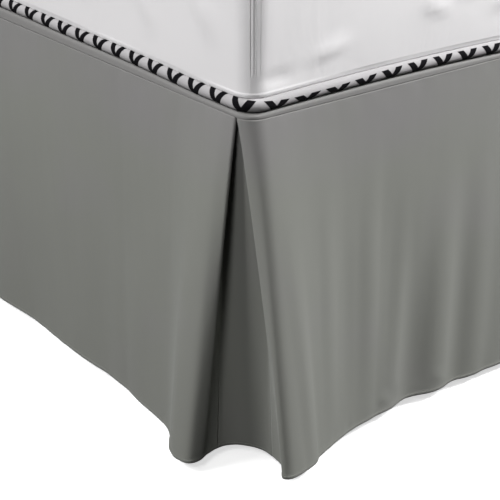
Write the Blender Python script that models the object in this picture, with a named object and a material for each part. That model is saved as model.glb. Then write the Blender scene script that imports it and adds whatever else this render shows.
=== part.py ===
"""A tailored bed skirt on a plain bed, with an inverted pleat at each foot corner.

The skirt is a flat deck with three drops sewn round its edge. It hangs over a box foundation on six legs,
and a mattress with piped edges holds the deck down. Metres, +Z up, the foot of the bed towards -Y, and the
origin on the floor under the middle of the whole. Each corner is worked out in its own plan: `side` is the
distance from the sharp corner along the side panel, and `foot` the distance along the foot panel.
"""

import bisect
import math
from collections import namedtuple

import bmesh
import bpy
from mathutils import Vector

MM = 0.001

# The bed
BED_WIDTH = 1.524
BED_LENGTH = 2.032
HEM_ABOVE_FLOOR = 0.012
FOUNDATION_HEIGHT = 0.203
MATTRESS_HEIGHT = 0.254
CROWN = 0.010
BORDER_INSET = 0.0035
BORDER_SWELL = 0.060
PIPING_DIAMETER = 0.014
PIPING_PROUD = 0.002
LEG_TOP_RADIUS = 0.032
LEG_FOOT_RADIUS = 0.024
LEG_INSET = 0.130

# The skirt. The drop is measured from the top of the deck to the hem.
DROP = 0.381
CLOTH = 0.0012
LAYER_PITCH = 0.003
DECK_CLOTH = 0.0015
DECK_RIM = 0.005
CORNER_RADIUS = 0.020
ROWS = 6
FLARE_CURVE = 0.9
SEAM_GAP = 0.0006
LONGEST_STEP = 0.070

# Fits
GAP = 0.0003
FOUNDATION_INSET = 0.012
FOUNDATION_RADIUS = 0.045
FOUNDATION_EDGE = 0.012
MATTRESS_RADIUS = 0.025
ARC_STEPS = 6

# Heights
DECK_TOP = HEM_ABOVE_FLOOR + DROP
SKIRT_TOP = DECK_TOP - DECK_RIM - GAP
FOUNDATION_TOP = DECK_TOP - DECK_CLOTH - GAP
FOUNDATION_BOTTOM = FOUNDATION_TOP - FOUNDATION_HEIGHT
MATTRESS_BOTTOM = DECK_TOP + GAP
MATTRESS_TOP = MATTRESS_BOTTOM + MATTRESS_HEIGHT

# The pleat flares past the foot of the bed, so the bed stands this far back to keep the whole centred.
FOOT_FLARE = 0.043
FOOT_Y = -BED_LENGTH / 2 + FOOT_FLARE / 2
HEAD_Y = FOOT_Y + BED_LENGTH

# The top edge of one corner, from the side panel round to the foot panel, in millimetres. Each run of cloth
# lies along the deck's edge in its layer, counted from the outside, and the cloth turns back on itself
# between two layers. `start` and `end` are measured from the mouth of the pleat, minus towards the side.
# The pieces are sewn together where the run changes from one to the next.
Run = namedtuple("Run", "piece layer start end steps")
PLEAT_TOP = (
    Run("side", 0, -195, -80, 4),
    Run("side", 0, -80, -2.7, 8),
    Run("side", 1, -2.7, -24, 3),
    Run("insert", 1, -24, -27, 1),
    Run("insert", 2, -27, 34, 6),
    Run("insert", 1, 34, 31, 1),
    Run("foot", 1, 31, 2.7, 4),
    Run("foot", 0, 2.7, 70, 8),
    Run("foot", 0, 70, 185, 4),
)

# The hem of the same cloth, in millimetres: it swings out in a lobe on each side of the open pleat.
Turn = namedtuple("Turn", "side foot")
PLEAT_HEM = (
    Turn(215, -6),
    Turn(136, -17),
    Turn(108, -25),
    Turn(80, -42.5),
    Turn(62, -48),
    Turn(46, -44),
    Turn(43, -31),
    Turn(49, -16),
    Turn(51, 4),
    Turn(42, 21),
    Turn(18, 33.5),
    Turn(-11, 32),
    Turn(-24, 26.5),
    Turn(-36.5, 16),
    Turn(-43, 21),
    Turn(-43, 33),
    Turn(-38, 51),
    Turn(-26, 77),
    Turn(-9, 131),
    Turn(-2, 174),
)
HEM_SMOOTHING = 12

# Soft folds away from the corners: how far along the panel from its left end (its foot end on a side),
# half the fold's width, how far it stands out at the hem, and where down the drop it starts.
Fold = namedtuple("Fold", "along half_width out start")
SIDE_FOLDS = (
    Fold(0.520, 0.090, 0.003, 0.3),
    Fold(0.760, 0.140, 0.006, 0.1),
    Fold(0.990, 0.110, -0.004, 0.2),
    Fold(1.230, 0.150, 0.007, 0.0),
    Fold(1.480, 0.120, -0.003, 0.2),
    Fold(1.700, 0.150, 0.006, 0.1),
    Fold(1.900, 0.110, -0.003, 0.3),
)
FOOT_FOLDS = (
    Fold(0.218, 0.055, -0.003, 0.2),
    Fold(0.295, 0.045, 0.003, 0.2),
    Fold(0.385, 0.070, 0.003, 0.1),
    Fold(0.560, 0.120, -0.003, 0.2),
    Fold(0.760, 0.150, 0.005, 0.0),
    Fold(0.980, 0.120, -0.003, 0.2),
    Fold(1.180, 0.120, 0.004, 0.1),
)

Finish = namedtuple("Finish", "colour roughness metallic")
FINISHES = {
    "skirt cloth": Finish((0.205, 0.208, 0.195), 0.75, 0.0),
    "deck cloth": Finish((0.230, 0.232, 0.222), 0.8, 0.0),
    "mattress knit": Finish((0.80, 0.79, 0.78), 0.85, 0.0),
    "piping": Finish((0.74, 0.73, 0.72), 0.7, 0.0),
    "foundation cover": Finish((0.55, 0.54, 0.52), 0.85, 0.0),
    "dark stained wood": Finish((0.045, 0.032, 0.025), 0.5, 0.0),
}


def clear_scene():
    for obj in list(bpy.data.objects):
        bpy.data.objects.remove(obj)


def finish_material(name):
    made = bpy.data.materials.new(name)
    made.use_nodes = True
    shader = made.node_tree.nodes["Principled BSDF"]
    finish = FINISHES[name]
    shader.inputs["Base Color"].default_value = (*finish.colour, 1.0)
    shader.inputs["Roughness"].default_value = finish.roughness
    shader.inputs["Metallic"].default_value = finish.metallic
    made.diffuse_color = (*finish.colour, 1.0)
    return made


def add_object(name, bm, finish):
    mesh = bpy.data.meshes.new(name)
    bm.to_mesh(mesh)
    bm.free()
    mesh.materials.append(finish_material(finish))
    mesh.shade_smooth()
    mesh.set_sharp_from_angle(angle=math.radians(40))
    obj = bpy.data.objects.new(name, mesh)
    bpy.context.collection.objects.link(obj)
    return obj


# ---- the corner's plan ----


def edge_point(along, layer):
    """Where a line of cloth meets the deck's edge, as (side, foot), along the edge and layers inwards."""
    inset = CLOTH / 2 + layer * LAYER_PITCH
    arc = CORNER_RADIUS * math.pi / 2
    if along <= 0:
        return Vector((CORNER_RADIUS - along, inset))
    if along >= arc:
        return Vector((inset, CORNER_RADIUS + along - arc))
    turn = along / CORNER_RADIUS
    radius = CORNER_RADIUS - inset
    return Vector((CORNER_RADIUS - radius * math.sin(turn), CORNER_RADIUS - radius * math.cos(turn)))


def top_edge():
    """The points of the pleat's top edge, and the number of the point at each seam."""
    first = PLEAT_TOP[0]
    points = [edge_point(first.start * MM, first.layer)]
    seams = []
    before = first
    for run in PLEAT_TOP:
        if run.piece != before.piece:
            seams.append(len(points) - 1)
        if run.layer != before.layer:
            turn_out = math.copysign(LAYER_PITCH / 2, before.end - before.start)
            points.append(edge_point(run.start * MM + turn_out, (before.layer + run.layer) / 2))
            points.append(edge_point(run.start * MM, run.layer))
        stride = (run.end - run.start) / run.steps
        points += [edge_point((run.start + stride * step) * MM, run.layer) for step in range(1, run.steps + 1)]
        before = run
    return points, seams


def smooth_curve(turns, steps):
    """A smooth curve through the turns, which leaves each one parallel to the line between its neighbours."""
    turns = [2 * turns[0] - turns[1], *turns, 2 * turns[-1] - turns[-2]]
    points = [turns[1]]
    for before, start, end, after in zip(turns, turns[1:], turns[2:], turns[3:]):
        bend = 2 * before - 5 * start + 4 * end - after
        twist = 3 * start - before - 3 * end + after
        for step in range(1, steps + 1):
            part = step / steps
            points.append(start + 0.5 * part * (end - before + part * (bend + part * twist)))
    return points


def lengths_along(points):
    lengths = [0.0]
    for before, after in zip(points, points[1:]):
        lengths.append(lengths[-1] + (after - before).length)
    return lengths


def point_at(points, lengths, length):
    """The point at this length along a line of points."""
    index = min(max(bisect.bisect(lengths, length), 1), len(points) - 1)
    part = (length - lengths[index - 1]) / (lengths[index] - lengths[index - 1])
    return points[index - 1].lerp(points[index], part)


def pleat_cloth(piece):
    """The columns (top, hem) of one piece of the corner's cloth.

    A line of cloth is the same part of the way along the hem as along the top, because cloth hardly stretches.
    """
    tops, seams = top_edge()
    lengths = lengths_along(tops)
    hem = smooth_curve([Vector((turn.side, turn.foot)) * MM for turn in PLEAT_HEM], HEM_SMOOTHING)
    hem_lengths = lengths_along(hem)
    share = hem_lengths[-1] / lengths[-1]
    side_seam, foot_seam = (lengths[seam] for seam in seams)
    first, last = {
        "side": (0.0, side_seam - SEAM_GAP / 2),
        "insert": (side_seam + SEAM_GAP / 2, foot_seam - SEAM_GAP / 2),
        "foot": (foot_seam + SEAM_GAP / 2, lengths[-1]),
    }[piece]
    places = [first, *(length for length in lengths if first < length < last), last]
    return [(point_at(tops, lengths, p), point_at(hem, hem_lengths, p * share)) for p in places]


def corner_world(plan, hand):
    """World x and y of a corner's plan point: hand is -1 at the left foot corner and 1 at the right."""
    return Vector((hand * (BED_WIDTH / 2 - plan.y), FOOT_Y + plan.x))


# ---- sheets ----


def ramp(value):
    held = min(max(value, 0.0), 1.0)
    return held * held * (3 - 2 * held)


def fold_out(folds, along, down):
    """How far the soft folds push the cloth outwards at this place along the panel and down the drop."""
    total = 0.0
    for fold in folds:
        reach = abs(along - fold.along) / fold.half_width
        if reach < 1:
            total += fold.out * math.cos(reach * math.pi / 2) ** 2 * ramp((down - fold.start) / (1 - fold.start))
    return total


def hang(name, columns, finish):
    """A hanging sheet from its columns, each (top xy, hem xy, stand_out).

    stand_out gives the further x and y by which a soft fold moves the cloth, at a given part of the drop.
    """
    bm = bmesh.new()
    bmesh.ops.create_grid(bm, x_segments=len(columns) - 1, y_segments=ROWS, size=1.0)
    bm.verts.ensure_lookup_table()
    for index, vert in enumerate(bm.verts):
        row, column = divmod(index, len(columns))
        down = row / ROWS
        top, hem, stand_out = columns[column]
        plan = top.lerp(hem, down**FLARE_CURVE) + stand_out(down)
        vert.co = (*plan, SKIRT_TOP + (HEM_ABOVE_FLOOR - SKIRT_TOP) * down)
    bmesh.ops.recalc_face_normals(bm, faces=bm.faces)
    obj = add_object(name, bm, finish)
    wall = obj.modifiers.new("cloth thickness", "SOLIDIFY")
    wall.thickness = CLOTH
    wall.offset = 0.0
    wall.use_even_offset = True
    return obj


def flat_run(folds, way, place, start, end):
    """Columns of a panel's long stretch between two distances along it, the last one left out.

    way points outwards, and place gives the world x and y at a distance along the panel.
    """
    count = math.ceil(abs(end - start) / LONGEST_STEP)
    columns = []
    for step in range(count):
        along = start + (end - start) * step / count
        columns.append((place(along), place(along), lambda down, along=along: way * fold_out(folds, along, down)))
    return columns


def in_corner(columns, hand):
    """A corner's columns in world x and y, with nothing added to their own shape."""
    still = Vector((0.0, 0.0))
    return [(corner_world(top, hand), corner_world(hem, hand), lambda down: still) for top, hem in columns]


def side_panel(name, hand):
    pleat = pleat_cloth("side")
    long_stretch = flat_run(
        SIDE_FOLDS,
        Vector((hand, 0.0)),
        lambda along: corner_world(Vector((along, CLOTH / 2)), hand),
        BED_LENGTH,
        pleat[0][0].x,
    )
    return hang(name, long_stretch + in_corner(pleat, hand), "skirt cloth")


def foot_panel():
    pleat = pleat_cloth("foot")
    pleat_end = pleat[-1][0].y
    long_stretch = flat_run(
        FOOT_FOLDS,
        Vector((0.0, -1.0)),
        lambda along: corner_world(Vector((CLOTH / 2, along)), -1),
        pleat_end,
        BED_WIDTH - pleat_end,
    )
    columns = in_corner(pleat, -1) + long_stretch[1:] + in_corner(pleat, 1)[::-1]
    return hang("foot_panel", columns, "skirt cloth")


def pleat_insert(name, hand):
    return hang(name, in_corner(pleat_cloth("insert"), hand), "skirt cloth")


# ---- outlines ----


def bed_outline(inset, radius, square_head=False):
    """The bed's plan outline moved inwards, anticlockwise from the left foot corner, with rounded corners."""
    half = BED_WIDTH / 2 - inset
    low, high = FOOT_Y + inset, HEAD_Y - inset
    corners = (
        (-half + radius, low + radius, 180),
        (half - radius, low + radius, 270),
        (half - radius, high - radius, 0),
        (-half + radius, high - radius, 90),
    )
    points = []
    for number, (x, y, start) in enumerate(corners):
        if square_head and number >= 2:
            points.append((half if number == 2 else -half, HEAD_Y))
            continue
        for step in range(ARC_STEPS + 1):
            angle = math.radians(start + 90 * step / ARC_STEPS)
            points.append((x + radius * math.cos(angle), y + radius * math.sin(angle)))
    return points


def stacked(name, levels, finish):
    """A closed solid through a stack of outlines, from the bottom up: each level is (z, inset, corner radius)."""
    bm = bmesh.new()
    rings = [[bm.verts.new((x, y, z)) for x, y in bed_outline(inset, radius)] for z, inset, radius in levels]
    for lower, upper in zip(rings, rings[1:]):
        for here in range(len(lower)):
            bm.faces.new((lower[here - 1], lower[here], upper[here], upper[here - 1]))
    bm.faces.new(rings[0])
    bm.faces.new(rings[-1])
    bmesh.ops.recalc_face_normals(bm, faces=bm.faces)
    return add_object(name, bm, finish)


def deck():
    """The flat deck, its edge turned down to the seam along the sides and the foot."""
    bm = bmesh.new()
    verts = [bm.verts.new((x, y, DECK_TOP)) for x, y in bed_outline(0.0, CORNER_RADIUS, square_head=True)]
    plate = bm.faces.new(verts)
    rim = [edge for edge in plate.edges if min(vert.co.y for vert in edge.verts) < HEAD_Y - GAP]
    turned = bmesh.ops.extrude_edge_only(bm, edges=rim)["geom"]
    down = [item for item in turned if isinstance(item, bmesh.types.BMVert)]
    bmesh.ops.translate(bm, verts=down, vec=(0.0, 0.0, -DECK_RIM))
    bmesh.ops.recalc_face_normals(bm, faces=bm.faces)
    obj = add_object("deck", bm, "deck cloth")
    wall = obj.modifiers.new("cloth thickness", "SOLIDIFY")
    wall.thickness = DECK_CLOTH
    wall.offset = -1.0
    wall.use_even_offset = True
    return obj


def foundation():
    """The plain box foundation, its long edges rounded over."""
    edge = FOUNDATION_EDGE
    over = (FOUNDATION_INSET + edge, FOUNDATION_RADIUS - edge / 2)
    shoulder = (FOUNDATION_INSET + edge / 4, FOUNDATION_RADIUS)
    wall = (FOUNDATION_INSET, FOUNDATION_RADIUS)
    levels = (
        (FOUNDATION_BOTTOM, *over),
        (FOUNDATION_BOTTOM + edge / 3, *shoulder),
        (FOUNDATION_BOTTOM + edge, *wall),
        (FOUNDATION_TOP - edge, *wall),
        (FOUNDATION_TOP - edge / 3, *shoulder),
        (FOUNDATION_TOP, *over),
    )
    return stacked("foundation", levels, "foundation cover")


def mattress():
    """The mattress, with a rebate for the piping along its top and bottom edges and a low crown."""
    rebate_in = PIPING_DIAMETER - PIPING_PROUD + 2 * GAP
    rebate_up = PIPING_DIAMETER + 2 * GAP
    swell_inset = 0.001
    shoulder = MATTRESS_TOP - CROWN - rebate_up
    middle = MATTRESS_BOTTOM + MATTRESS_HEIGHT / 2
    levels = (
        (MATTRESS_BOTTOM, rebate_in, MATTRESS_RADIUS - rebate_in),
        (MATTRESS_BOTTOM + rebate_up, rebate_in, MATTRESS_RADIUS - rebate_in),
        (MATTRESS_BOTTOM + rebate_up, BORDER_INSET, MATTRESS_RADIUS),
        (MATTRESS_BOTTOM + BORDER_SWELL, swell_inset, MATTRESS_RADIUS),
        (middle, 0.0, MATTRESS_RADIUS + swell_inset),
        (MATTRESS_TOP - BORDER_SWELL, swell_inset, MATTRESS_RADIUS),
        (shoulder, BORDER_INSET, MATTRESS_RADIUS),
        (shoulder, rebate_in, MATTRESS_RADIUS - rebate_in),
        (MATTRESS_TOP - CROWN, rebate_in, MATTRESS_RADIUS - rebate_in),
        (MATTRESS_TOP - CROWN * 0.4, 0.060, 0.050),
        (MATTRESS_TOP - CROWN * 0.1, 0.150, 0.100),
        (MATTRESS_TOP, 0.280, 0.160),
    )
    return stacked("mattress", levels, "mattress knit")


def tape_edge(name, z):
    """The round piping sewn round one edge of the mattress."""
    radius = PIPING_DIAMETER / 2
    curve = bpy.data.curves.new(name, "CURVE")
    curve.dimensions = "3D"
    curve.bevel_depth = radius
    curve.bevel_resolution = 4
    points = bed_outline(radius - PIPING_PROUD, MATTRESS_RADIUS - radius)
    spline = curve.splines.new("POLY")
    spline.points.add(len(points) - 1)
    for point, (x, y) in zip(spline.points, points):
        point.co = (x, y, z, 1.0)
    spline.use_cyclic_u = True
    curve.materials.append(finish_material("piping"))
    obj = bpy.data.objects.new(name, curve)
    bpy.context.collection.objects.link(obj)
    return obj


def leg(name, x, y):
    """A plain tapered round leg with its flat foot on the floor."""
    height = FOUNDATION_BOTTOM - GAP
    bm = bmesh.new()
    bmesh.ops.create_cone(
        bm, cap_ends=True, segments=24, radius1=LEG_FOOT_RADIUS, radius2=LEG_TOP_RADIUS, depth=height
    )
    bmesh.ops.translate(bm, verts=bm.verts, vec=(x, y, height / 2))
    return add_object(name, bm, "dark stained wood")


def legs():
    across = BED_WIDTH / 2 - LEG_INSET
    rows = (FOOT_Y + LEG_INSET, (FOOT_Y + HEAD_Y) / 2, HEAD_Y - LEG_INSET)
    places = [(x, y) for y in rows for x in (-across, across)]
    for number, (x, y) in enumerate(places, start=1):
        leg(f"leg_{number}", x, y)


def main():
    clear_scene()
    side_panel("side_panel_left", -1)
    side_panel("side_panel_right", 1)
    foot_panel()
    pleat_insert("pleat_insert_left", -1)
    pleat_insert("pleat_insert_right", 1)
    deck()
    foundation()
    legs()
    mattress()
    tape_edge("tape_edge_lower", MATTRESS_BOTTOM + PIPING_DIAMETER / 2)
    tape_edge("tape_edge_upper", MATTRESS_TOP - CROWN - PIPING_DIAMETER / 2 - GAP)


main()
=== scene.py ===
"""The finished look of a tailored bed skirt on its bed.

Every piece is built round the frame's own sizes: the hanging cloth with its corner pleats, the deck it is
sewn to, the mattress with its two piped edges, the box foundation and the turned legs. Metres, +Z up, the
foot of the bed towards -Y. A corner is worked out in its own plan, where `side` is the distance from the
sharp corner along the side panel and `foot` the distance along the foot panel.
"""

import bisect
import math
from collections import namedtuple

import bmesh
import bpy
from bpy.props import FloatProperty, FloatVectorProperty, PointerProperty
from bpy.types import Operator, Panel, PropertyGroup
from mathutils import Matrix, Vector, noise


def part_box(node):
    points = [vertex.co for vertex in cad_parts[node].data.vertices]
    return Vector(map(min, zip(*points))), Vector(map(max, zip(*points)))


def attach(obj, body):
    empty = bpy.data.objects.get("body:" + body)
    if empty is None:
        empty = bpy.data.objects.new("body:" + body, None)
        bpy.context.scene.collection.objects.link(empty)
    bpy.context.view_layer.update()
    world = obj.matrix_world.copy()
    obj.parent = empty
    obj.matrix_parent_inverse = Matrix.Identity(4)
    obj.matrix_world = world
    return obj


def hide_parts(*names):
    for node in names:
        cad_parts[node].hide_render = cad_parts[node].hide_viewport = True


bl_info = {
    "name": "Corner Pleat Bed Skirt",
    "version": (1, 0, 0),
    "blender": (4, 5, 0),
    "location": "3D View > Sidebar > Bed Skirt",
    "description": "A tailored bed skirt with inverted corner pleats, under a mattress with piped edges",
    "category": "Object",
}

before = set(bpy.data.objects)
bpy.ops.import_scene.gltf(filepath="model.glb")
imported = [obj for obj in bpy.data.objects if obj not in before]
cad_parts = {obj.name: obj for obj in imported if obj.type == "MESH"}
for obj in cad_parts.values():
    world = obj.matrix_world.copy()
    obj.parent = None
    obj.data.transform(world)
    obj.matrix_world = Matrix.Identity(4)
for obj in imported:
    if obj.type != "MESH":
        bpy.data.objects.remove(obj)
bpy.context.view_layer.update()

MM = 0.001
MERGE = 0.00001
FLAT_ENOUGH = 0.7
DECK_LOW, DECK_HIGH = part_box("deck")
MATTRESS_LOW, MATTRESS_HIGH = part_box("mattress")
FOUNDATION_LOW, FOUNDATION_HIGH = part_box("foundation")
INSERT_LOW, INSERT_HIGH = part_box("pleat_insert_left")
HALF_WIDTH = DECK_HIGH.x
BED_WIDTH = 2 * HALF_WIDTH
FOOT_Y = DECK_LOW.y
HEAD_Y = DECK_HIGH.y
BED_LENGTH = HEAD_Y - FOOT_Y
DECK_TOP = DECK_HIGH.z
SKIRT_TOP = INSERT_HIGH.z
HEM = INSERT_LOW.z
CLOTH_DROP = SKIRT_TOP - HEM


def rows(kind, *values):
    """A table's rows, each of this kind."""
    return tuple(kind(*row) for row in values)


# ---- how the skirt's cloth runs ----

CLOTH = 0.0012
LAYER_PITCH = 0.003
CORNER_RADIUS = 0.020
SEAM_GAP = 0.00005
FLARE_CURVE = 0.9
FINE_STEP = 0.0025
LONG_STEP = 0.0065
SIDE_FLARE_REACH = 0.300
FOOT_FLARE_REACH = 0.150
TURN_STEPS = 6
HEM_SMOOTHING = 12
ROW_STEP = 0.0062
HEM_ROWS_FROM = 0.0170
PUCKER_HEIGHT = 0.030
GATHER_DEPTH = 0.035

# The top edge of one corner, from the side panel round to the foot panel, in millimetres from the mouth
# of the pleat, minus towards the side. A layer is counted from the outside, and the cloth turns back on
# itself between two layers.
Run = namedtuple("Run", "piece layer start end")
PLEAT_TOP = (
    Run("side", 0, -195, -2.7),
    Run("side", 1, -2.7, -24),
    Run("insert", 1, -24, -27),
    Run("insert", 2, -27, 34),
    Run("insert", 1, 34, 31),
    Run("foot", 1, 31, 2.7),
    Run("foot", 0, 2.7, 185),
)

# The hem of the same cloth, in millimetres: it swings out in a lobe on each side of the open pleat.
Turn = namedtuple("Turn", "side foot")
PLEAT_HEM = rows(
    Turn,
    (215, -6),
    (136, -17),
    (108, -25),
    (80, -42.5),
    (62, -48),
    (46, -44),
    (43, -31),
    (49, -16),
    (51, 4),
    (42, 21),
    (18, 33.5),
    (-11, 32),
    (-24, 26.5),
    (-36.5, 16),
    (-43, 21),
    (-43, 33),
    (-38, 51),
    (-26, 77),
    (-9, 131),
    (-2, 174),
)

# Soft ridges and troughs: where each starts and ends, along the cloth and down from its
# top, half its width, how far it stands out where it is highest, and the share of its length where that
# is.
Crease = namedtuple("Crease", "along drop to_along to_drop half_width out peak")
SIDE_CREASES = rows(
    Crease,
    (0.075, 0.030, 0.070, 0.376, 0.022, 0.0012, 0.6),
    (0.130, 0.060, 0.118, 0.376, 0.040, -0.0016, 0.8),
    (0.190, 0.020, 0.184, 0.376, 0.036, 0.0016, 0.8),
    (0.265, 0.090, 0.258, 0.376, 0.045, -0.0018, 0.9),
    (0.350, 0.060, 0.330, 0.376, 0.070, 0.0012, 1.0),
    (0.440, 0.200, 0.430, 0.376, 0.060, -0.0015, 1.0),
    (0.530, 0.110, 0.520, 0.376, 0.090, 0.0030, 1.0),
    (0.640, 0.180, 0.625, 0.376, 0.050, -0.0015, 1.0),
    (0.755, 0.030, 0.765, 0.376, 0.140, 0.0060, 1.0),
    (0.980, 0.070, 0.995, 0.376, 0.110, -0.0040, 1.0),
    (1.090, 0.150, 1.105, 0.376, 0.055, 0.0020, 1.0),
    (1.240, 0.000, 1.225, 0.376, 0.150, 0.0070, 1.0),
    (1.380, 0.120, 1.370, 0.376, 0.050, -0.0015, 1.0),
    (1.480, 0.080, 1.480, 0.376, 0.120, -0.0030, 1.0),
    (1.600, 0.180, 1.590, 0.376, 0.045, 0.0015, 1.0),
    (1.710, 0.040, 1.690, 0.376, 0.150, 0.0060, 1.0),
    (1.890, 0.100, 1.905, 0.376, 0.110, -0.0030, 1.0),
)
FOOT_CREASES = rows(
    Crease,
    (0.034, 0.060, 0.056, 0.376, 0.017, 0.0024, 0.9),
    (0.092, 0.040, 0.096, 0.376, 0.016, 0.0012, 0.6),
    (0.118, 0.030, 0.122, 0.376, 0.020, -0.0012, 0.6),
    (0.158, 0.020, 0.160, 0.376, 0.022, 0.0022, 0.6),
    (0.192, 0.070, 0.196, 0.376, 0.018, -0.0016, 0.7),
    (0.206, 0.060, 0.200, 0.376, 0.016, 0.0014, 0.7),
    (0.178, 0.348, 0.192, 0.368, 0.008, 0.0012, 0.5),
    (0.196, 0.340, 0.204, 0.372, 0.008, -0.0012, 0.6),
    (0.262, 0.345, 0.276, 0.370, 0.009, 0.0012, 0.5),
    (0.232, 0.120, 0.226, 0.376, 0.036, -0.0078, 0.9),
    (0.272, 0.040, 0.268, 0.376, 0.026, 0.0028, 0.8),
    (0.300, 0.060, 0.296, 0.376, 0.022, -0.0022, 0.8),
    (0.330, 0.030, 0.326, 0.376, 0.026, 0.0030, 0.8),
    (0.385, 0.040, 0.385, 0.376, 0.070, 0.0030, 1.0),
    (0.465, 0.140, 0.470, 0.376, 0.045, -0.0018, 1.0),
    (0.555, 0.070, 0.565, 0.376, 0.120, -0.0030, 1.0),
    (0.650, 0.160, 0.660, 0.376, 0.045, 0.0015, 1.0),
    (0.765, 0.000, 0.755, 0.376, 0.150, 0.0050, 1.0),
    (0.880, 0.150, 0.870, 0.376, 0.045, -0.0015, 1.0),
    (0.975, 0.070, 0.985, 0.376, 0.120, -0.0030, 1.0),
    (1.090, 0.170, 1.100, 0.376, 0.040, 0.0015, 1.0),
    (1.180, 0.030, 1.180, 0.376, 0.120, 0.0040, 1.0),
    (1.290, 0.120, 1.300, 0.376, 0.050, -0.0020, 0.9),
)

# ---- how the mattress and its piping lie ----

ARC_STEPS = 12
STRAIGHT_STEP = 0.008
PIPING_RADIUS = 0.007
PIPING_PROUD = 0.002
PIPING_SIDES = 20
MATTRESS_RADIUS = 0.025
CROWN = 0.010
CROWN_REACH = 0.30
BORDER_INSET = 0.0021
BORDER_ROWS = 34
BORDER_FADE = 0.030
LIFT_REACH = 0.120
DECK_LIFT_REACH = 0.060

# Where the chevrons of overstitching start, and the levels round the piping, up from its outermost line,
# between which they run, with the level of a painted contact shadow line near their lower ends.
CHEVRON_START = 0.002
STITCH_TOP = PIPING_RADIUS * math.radians(78)
STITCH_LOW = PIPING_RADIUS * math.radians(-62)
CONTACT_SHADOW_LEVEL = PIPING_RADIUS * math.radians(-57)

# How the chevrons change in height round the bed: from where to where, and from which share of the full
# height to which.
Change = namedtuple("Change", "start end before after")
STITCH_CHANGES = rows(
    Change,
    (-0.030, 0.055, 1.0, 0.10),
    (0.085, 0.220, 0.0, 0.46),
    (0.500, 0.900, 0.0, 0.40),
)

# Where the mattress's lower edge lifts off the deck a little: how far round the bed from the middle of the
# left foot corner, half the length that lifts, and by how much.
Lift = namedtuple("Lift", "around half_length height")
EDGE_LIFTS = rows(
    Lift,
    (-0.560, 0.480, 0.0068),
    (-0.190, 0.110, 0.0012),
    (0.175, 0.170, 0.0026),
    (-1.450, 0.420, 0.0040),
    (0.820, 0.350, 0.0035),
    (2.150, 0.420, 0.0050),
    (3.050, 0.300, 0.0030),
    (-2.750, 0.420, 0.0045),
)

# Soft wrinkles in the knit of the border: along is measured round the bed from the middle of the left foot
# corner, and drop upwards from the mattress's lower edge.
BORDER_CREASES = rows(
    Crease,
    (0.215, 0.185, 0.262, 0.085, 0.015, 0.0044, 0.4),
    (0.262, 0.085, 0.330, 0.075, 0.014, 0.0032, 0.3),
    (0.205, 0.075, 0.262, 0.055, 0.012, 0.0028, 0.5),
    (0.300, 0.050, 0.372, 0.072, 0.014, 0.0026, 0.5),
    (0.060, 0.038, 0.130, 0.052, 0.012, 0.0024, 0.5),
    (0.012, 0.030, 0.060, 0.030, 0.012, -0.0018, 0.4),
    (-0.090, 0.130, -0.045, 0.050, 0.022, 0.0026, 0.5),
    (-0.185, 0.120, -0.150, 0.035, 0.018, 0.0026, 0.5),
    (-0.300, 0.140, -0.270, 0.040, 0.018, 0.0028, 0.5),
    (-0.420, 0.110, -0.360, 0.045, 0.025, -0.0028, 0.5),
    (0.520, 0.180, 0.600, 0.060, 0.030, 0.0020, 0.5),
    (0.900, 0.060, 1.020, 0.170, 0.030, 0.0018, 0.5),
    (1.300, 0.190, 1.340, 0.050, 0.026, 0.0020, 0.5),
    (1.700, 0.060, 1.820, 0.150, 0.032, 0.0018, 0.5),
    (2.350, 0.180, 2.450, 0.070, 0.030, 0.0020, 0.5),
    (2.950, 0.070, 3.050, 0.160, 0.030, -0.0018, 0.5),
    (3.300, 0.180, 3.420, 0.080, 0.030, 0.0020, 0.5),
    (-0.800, 0.180, -0.700, 0.070, 0.030, 0.0018, 0.5),
    (-1.350, 0.070, -1.250, 0.150, 0.030, -0.0016, 0.5),
    (-1.900, 0.180, -1.800, 0.080, 0.030, 0.0020, 0.5),
    (-2.600, 0.060, -2.480, 0.150, 0.030, 0.0018, 0.5),
    (-3.200, 0.170, -3.100, 0.070, 0.030, 0.0018, 0.5),
)

# The upright seam in the border at the left foot corner: where it is, and how far up it starts.
BORDER_SEAM = 0.0050
BORDER_SEAM_FOOT = 0.033

# The edge of the mattress where it is sewn to its piping: how far in from the bed's outline, and how far
# from the level of the edge towards the middle of the border.
Tuck = namedtuple("Tuck", "inset up")
PIPED_EDGE = rows(
    Tuck,
    (0.0200, 0.0),
    (0.0140, 0.0007),
    (0.0125, 0.0030),
    (0.0123, 0.0070),
    (0.0118, 0.0101),
    (0.0098, 0.0127),
    (0.0072, 0.01405),
    (0.0052, 0.01410),
    (0.0041, 0.01405),
    (0.0033, 0.01386),
    (0.0029, 0.01400),
    (0.0027, 0.0150),
    (0.0024, 0.0163),
    (0.0021, 0.0180),
)

# How far in from the bed's outline the rings of a flat panel lie.
PANEL_INSETS = (0.740, 0.640, 0.540, 0.440, 0.360, 0.290, 0.230)
PANEL_INSETS += (0.180, 0.140, 0.105, 0.078, 0.056, 0.040, 0.028)

# The deck's edge from its flat top over its rolled edge to the seam: how far in from the bed's outline,
# how far above the deck, and how much of the mattress's lift it follows.
DeckRow = namedtuple("DeckRow", "inset up lift")
DECK_EDGE = rows(
    DeckRow,
    (0.0180, 0.0, 1.0),
    (0.0100, 0.0, 1.0),
    (0.0050, 0.0, 1.0),
    (0.0028, -0.00015, 1.0),
    (0.0012, -0.0008, 1.0),
    (0.0003, -0.0018, 0.95),
    (0.0, -0.0026, 0.80),
    (0.0, -0.0032, 0.55),
    (0.0, -0.0038, 0.30),
    (0.0, -0.0044, 0.10),
    (0.0, -0.0050, 0.0),
)

# ---- the foundation and the legs ----

FOUNDATION_RADIUS = 0.045
FOUNDATION_BULGE = 0.0016
WALL_ROWS = 14

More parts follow.
